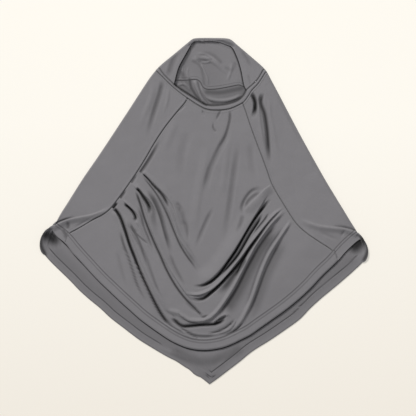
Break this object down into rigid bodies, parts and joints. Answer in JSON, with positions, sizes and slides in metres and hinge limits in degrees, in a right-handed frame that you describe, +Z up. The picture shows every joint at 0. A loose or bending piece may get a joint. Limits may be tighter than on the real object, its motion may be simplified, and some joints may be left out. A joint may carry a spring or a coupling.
{
  "type": "headscarf",
  "caption": "Slip-on jersey headscarf lying flat: a hood with an open face, a neckband and a long cape with a pleated front panel.",
  "frame": {"origin": "middle of the scarf's plan, on the surface that it lies on", "axes": "+Z up off the surface, +Y towards the crown of the hood, +X to the right as the scarf is looked down on"},
  "size_m": [0.941, 0.9842, 0.0249],
  "materials": {
    "jersey": "matte grey knitted jersey"
  },
  "bodies": {
    "root": {"cape": "jersey", "front_panel": "jersey", "neckband": "jersey", "hood": "jersey"}
  },
  "joints": []
}
